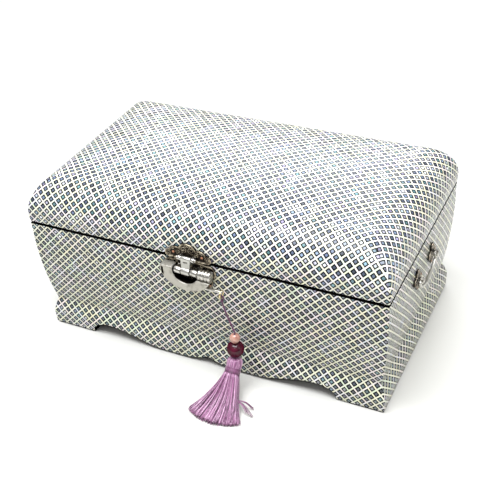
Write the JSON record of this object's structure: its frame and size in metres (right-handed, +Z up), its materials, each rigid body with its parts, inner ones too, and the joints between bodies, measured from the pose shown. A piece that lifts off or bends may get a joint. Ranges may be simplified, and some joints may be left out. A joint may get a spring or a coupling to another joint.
{
  "type": "jewelry box",
  "caption": "Lacquered jewelry box on bracket feet, with a pillow-shaped hinged lid, hasp and crescent padlock, key tassel, side bails, lift-out tray and lid mirror.",
  "frame": {"origin": "middle of the box's footprint, on the table it stands on; the tassel, which lies out in front, isn't counted", "axes": "+X along the length towards the key and tassel, +Y from the clasp at the front to the hinges at the back, +Z up"},
  "size_m": [0.292, 0.219, 0.1403],
  "materials": {
    "pearl_lacquer": "black lacquer over wood, inlaid with a lattice of mother-of-pearl strips, high gloss",
    "black_lacquer": "black lacquer",
    "bare_wood": "bare",
    "felt": "pressed felt",
    "velvet": "cotton velvet",
    "ring_velvet": "cotton velvet",
    "mirror": "silvered glass",
    "antique_metal": "nickel plated, darkened in the recesses",
    "nickel": "nickel plated, worn bright",
    "pale_brass": "satin",
    "plum_cord": "twisted silk",
    "silk": "silk thread",
    "silk_binding": "wound silk thread",
    "pearl": "pearl coat",
    "garnet": "polished"
  },
  "bodies": {
    "case": {"front_wall": "pearl_lacquer", "back_wall": "pearl_lacquer", "left_wall": "pearl_lacquer", "right_wall": "pearl_lacquer", "case_floor": "black_lacquer", "front_apron": "pearl_lacquer", "back_apron": "pearl_lacquer", "left_apron": "pearl_lacquer", "right_apron": "pearl_lacquer", "corner_block_front_left": "bare_wood", "corner_block_front_right": "bare_wood", "corner_block_back_left": "bare_wood", "corner_block_back_right": "bare_wood", "foot_pad_front_left": "felt", "foot_pad_front_right": "felt", "foot_pad_back_left": "felt", "foot_pad_back_right": "felt", "lining_front": "velvet", "lining_back": "velvet", "lining_left": "velvet", "lining_right": "velvet", "floor_cushion": "velvet", "tray_ledge_left": "velvet", "tray_ledge_right": "velvet", "hinge_leaf_case_left": "pale_brass", "hinge_leaf_case_right": "pale_brass", "hinge_pin_left": "pale_brass", "hinge_pin_right": "pale_brass", "staple_plate": "antique_metal", "left_eyeplate_front": "antique_metal", "left_eyeplate_back": "antique_metal", "right_eyeplate_front": "antique_metal", "right_eyeplate_back": "antique_metal"},
    "lid": {"lid_shell": "pearl_lacquer", "lid_lining": "velvet", "mirror_frame": "black_lacquer", "mirror": "mirror", "hasp_plate": "antique_metal", "hasp_pin": "nickel", "hinge_leaf_lid_left": "pale_brass", "hinge_leaf_lid_right": "pale_brass"},
    "hasp": {"hasp": "nickel"},
    "padlock": {"padlock_body": "nickel"},
    "bolt": {"padlock_bolt": "nickel"},
    "key": {"padlock_key": "pale_brass"},
    "tassel": {"tassel_cord": "plum_cord", "pearl_bead": "pearl", "garnet_bead": "garnet", "tassel_head": "silk", "tassel_band": "silk_binding", "tassel_skirt": "silk"},
    "left_bail": {"left_bail": "nickel"},
    "right_bail": {"right_bail": "nickel"},
    "tray": {"tray_frame": "velvet", "tray_floor": "velvet", "tray_divider": "velvet", "ring_roll_1": "ring_velvet", "ring_roll_2": "ring_velvet", "ring_roll_3": "ring_velvet", "ring_roll_4": "ring_velvet"}
  },
  "joints": [
    {"name": "lid_hinge", "type": "hinge", "parent": "case", "child": "lid", "pos_m": [0, 0.0856, 0.0984], "axis": [-1, 0, 0], "range_deg": [0, 100]},
    {"name": "hasp_swing", "type": "hinge", "parent": "lid", "child": "hasp", "pos_m": [-0.0045, -0.0822, 0.1016], "axis": [-1, 0, 0], "range_deg": [0, 110]},
    {"name": "lock_swing", "type": "hinge", "parent": "case", "child": "padlock", "pos_m": [-0.0045, -0.0839, 0.0923], "axis": [-1, 0, 0], "range_deg": [0, 80]},
    {"name": "bolt_slide", "type": "slide", "parent": "padlock", "child": "bolt", "axis": [1, 0, 0], "range_m": [0, 0.0275]},
    {"name": "key_slide", "type": "slide", "parent": "padlock", "child": "key", "axis": [1, 0, 0], "range_m": [0, 0.012]},
    {"name": "tassel_swing", "type": "hinge", "parent": "key", "child": "tassel", "pos_m": [0.0215, -0.0839, 0.079], "axis": [-1, 0, 0], "range_deg": [-80, 0]},
    {"name": "left_bail_swing", "type": "hinge", "parent": "case", "child": "left_bail", "pos_m": [-0.1436, -0.0004, 0.077], "axis": [0, 1, 0], "range_deg": [0, 100]},
    {"name": "right_bail_swing", "type": "hinge", "parent": "case", "child": "right_bail", "pos_m": [0.1436, -0.0004, 0.077], "axis": [0, -1, 0], "range_deg": [0, 100]},
    {"name": "tray_lift", "type": "slide", "parent": "case", "child": "tray", "axis": [0, 0, 1], "range_m": [0, 0.014]}
  ],
  "couplings": [
    {"joint": "tassel_swing", "follows": "lock_swing", "ratio": -1}
  ]
}
